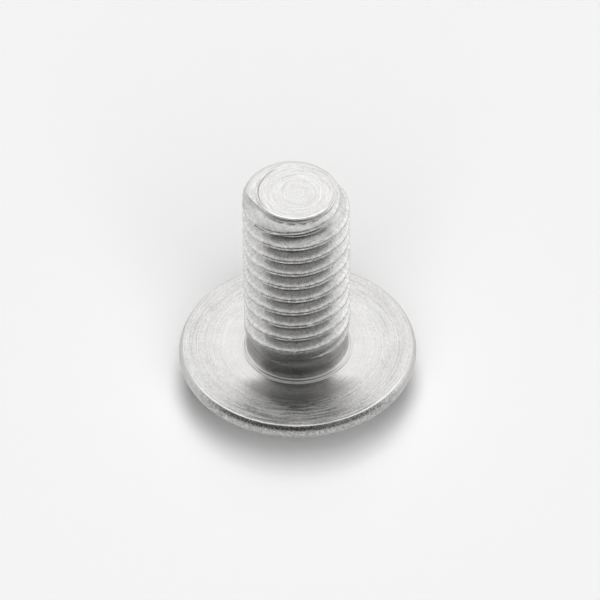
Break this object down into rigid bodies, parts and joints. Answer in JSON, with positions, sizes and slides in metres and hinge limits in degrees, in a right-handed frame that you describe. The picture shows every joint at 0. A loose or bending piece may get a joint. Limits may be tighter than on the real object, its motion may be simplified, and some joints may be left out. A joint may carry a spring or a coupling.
{
  "type": "flanged button head screw",
  "caption": "Short machine screw with a low domed head, a wide thin flange, a hexagon socket and a full metric thread on a shank with a rounded end.",
  "frame": {"origin": "centre of the flat crown of the head, which the screw stands on", "axes": "+Z along the shank, from the head to the tip; +Y and +X across it, with a flat of the hexagon socket facing each way along Y"},
  "size_m": [0.0132, 0.0132, 0.015],
  "materials": {
    "steel": "plain stainless steel, fine concentric turning marks on the flange and tip, bright rolled thread"
  },
  "bodies": {
    "root": {"screw": "steel"}
  },
  "joints": []
}
